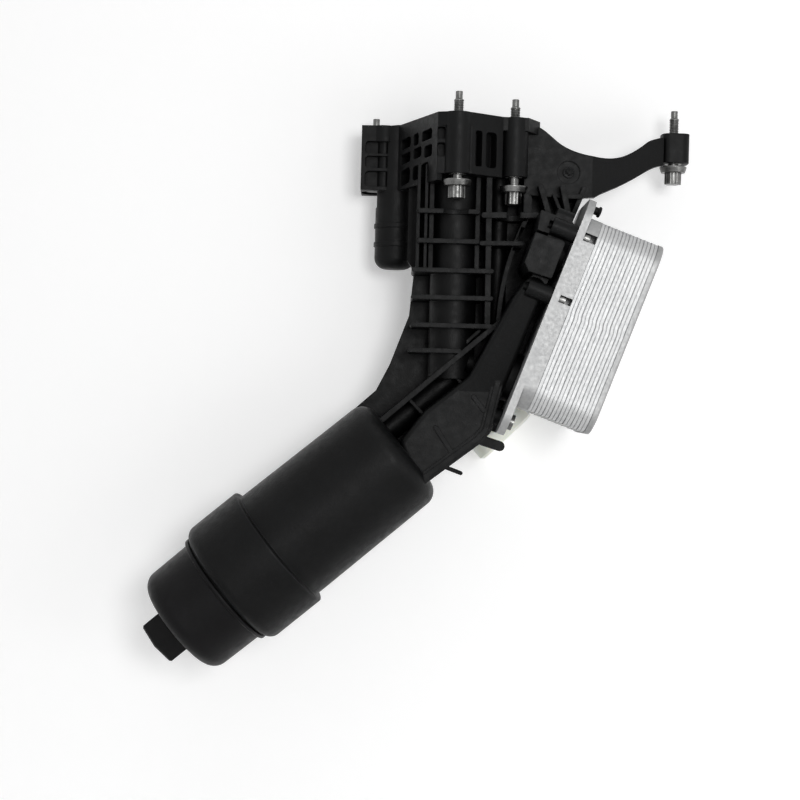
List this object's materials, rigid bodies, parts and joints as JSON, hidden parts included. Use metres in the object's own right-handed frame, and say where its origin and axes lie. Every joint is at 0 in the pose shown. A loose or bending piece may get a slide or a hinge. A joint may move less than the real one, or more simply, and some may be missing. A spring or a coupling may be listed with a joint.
{
  "type": "oil filter housing",
  "caption": "Moulded oil filter housing with screw cap, cartridge filter, plate oil cooler and captive mounting bolts.",
  "frame": {"origin": "centre of the first bolt's hole on the mounting face", "axes": "+Z out of the mounting face along the bolts; +X towards the outer arm; +Y away from the ribbed front"},
  "size_m": [0.325, 0.107, 0.3463],
  "materials": {
    "housing_plastic": "matte, glass-filled",
    "cap_plastic": "matte, glass-filled",
    "plug_plastic": "natural, unfilled",
    "rubber": "moulded",
    "filter_paper": "pleated",
    "element_plastic": "moulded",
    "spring_steel": "drawn wire",
    "screw_steel": "zinc plated",
    "bolt_steel": "zinc plated, dull",
    "sleeve_steel": "turned",
    "cooler_aluminium": "brazed, satin"
  },
  "bodies": {
    "housing": {"anti_drain_flap": "rubber", "bypass_cage": "element_plastic", "bypass_spring": "spring_steel", "coolant_port_seal": "rubber", "cooler_band": "cooler_aluminium", "cooler_base": "cooler_aluminium", "cooler_cover": "cooler_aluminium", "cooler_screws": "screw_steel", "housing": "housing_plastic", "lower_cooler_seal": "rubber", "main_port_seal": "rubber", "oil_plate_1": "cooler_aluminium", "oil_plate_2": "cooler_aluminium", "oil_plate_3": "cooler_aluminium", "oil_plate_4": "cooler_aluminium", "oil_plate_5": "cooler_aluminium", "oil_plate_6": "cooler_aluminium", "oil_plate_7": "cooler_aluminium", "oil_plate_8": "cooler_aluminium", "port_plug": "plug_plastic", "side_port_seal": "rubber", "sleeve_1": "sleeve_steel", "sleeve_2": "sleeve_steel", "sleeve_3": "sleeve_steel", "sleeve_4": "sleeve_steel", "standpipe": "element_plastic", "upper_cooler_seal": "rubber", "water_plate_1": "cooler_aluminium", "water_plate_2": "cooler_aluminium", "water_plate_3": "cooler_aluminium", "water_plate_4": "cooler_aluminium", "water_plate_5": "cooler_aluminium", "water_plate_6": "cooler_aluminium", "water_plate_7": "cooler_aluminium", "water_plate_8": "cooler_aluminium"},
    "cap": {"filter_cap": "cap_plastic", "cap_o_ring": "rubber"},
    "element": {"filter_media": "filter_paper", "inner_end_disc": "element_plastic", "outer_end_disc": "element_plastic", "centre_tube": "element_plastic"},
    "bypass_plunger": {"bypass_plunger": "element_plastic"},
    "bolt_1": {"bolt_1": "bolt_steel"},
    "bolt_2": {"bolt_2": "bolt_steel"},
    "bolt_3": {"bolt_3": "bolt_steel"},
    "bolt_4": {"bolt_4": "bolt_steel"}
  },
  "joints": [
    {"name": "cap_travel", "type": "slide", "parent": "housing", "child": "element", "axis": [-0.7638, 0, -0.6455], "range_m": [0, 0.0161]},
    {"name": "cap_turn", "type": "hinge", "parent": "element", "child": "cap", "pos_m": [-0.16146, 0.02, -0.31035], "axis": [-0.7638, 0, -0.6455], "range_deg": [0, 1440]},
    {"name": "bypass_lift", "type": "slide", "parent": "housing", "child": "bypass_plunger", "axis": [0.7638, 0, 0.6455], "range_m": [0, 0.005], "stiffness_N_per_m": 1500, "springref_m": -0.0105, "deforming": ["bypass_spring"]},
    {"name": "bolt_1_slide", "type": "slide", "parent": "housing", "child": "bolt_1", "axis": [0, 0, 1], "range_m": [-0.002, 0.0032]},
    {"name": "bolt_2_slide", "type": "slide", "parent": "housing", "child": "bolt_2", "axis": [0, 0, 1], "range_m": [-0.002, 0.0053]},
    {"name": "bolt_3_slide", "type": "slide", "parent": "housing", "child": "bolt_3", "axis": [0, 0, 1], "range_m": [-0.002, 0.0018]},
    {"name": "bolt_4_slide", "type": "slide", "parent": "housing", "child": "bolt_4", "axis": [0, 0, 1], "range_m": [-0.002, 0.0043]}
  ],
  "couplings": [
    {"joint": "cap_travel", "follows": "cap_turn", "m_per_rad": 0.00063662}
  ]
}
